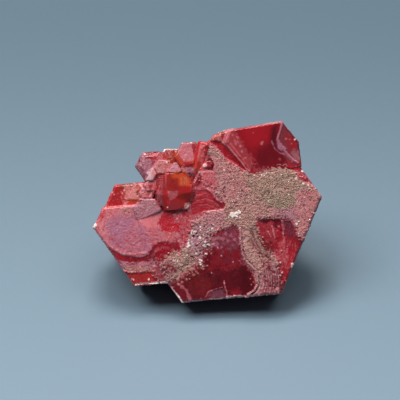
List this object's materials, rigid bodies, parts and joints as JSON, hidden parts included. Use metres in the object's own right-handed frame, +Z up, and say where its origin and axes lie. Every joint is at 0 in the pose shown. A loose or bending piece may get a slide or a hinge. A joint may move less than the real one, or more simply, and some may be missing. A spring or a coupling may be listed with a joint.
{
  "type": "vanadinite crystal cluster",
  "caption": "Cluster of flat hexagonal vanadinite crystals grown into one another, with small crystals in the notch between the wide plates, resting on its broken base.",
  "frame": {"origin": "middle of the bounding box's base, on the surface that the cluster rests on", "axes": "+Z up; +X across the wide front face, left to right; the face looks towards -Y and 38 degrees upwards"},
  "size_m": [0.0252, 0.0186, 0.018],
  "materials": {
    "vanadinite_red": "glossy"
  },
  "bodies": {
    "root": {"crystal_cluster": "vanadinite_red"}
  },
  "joints": []
}
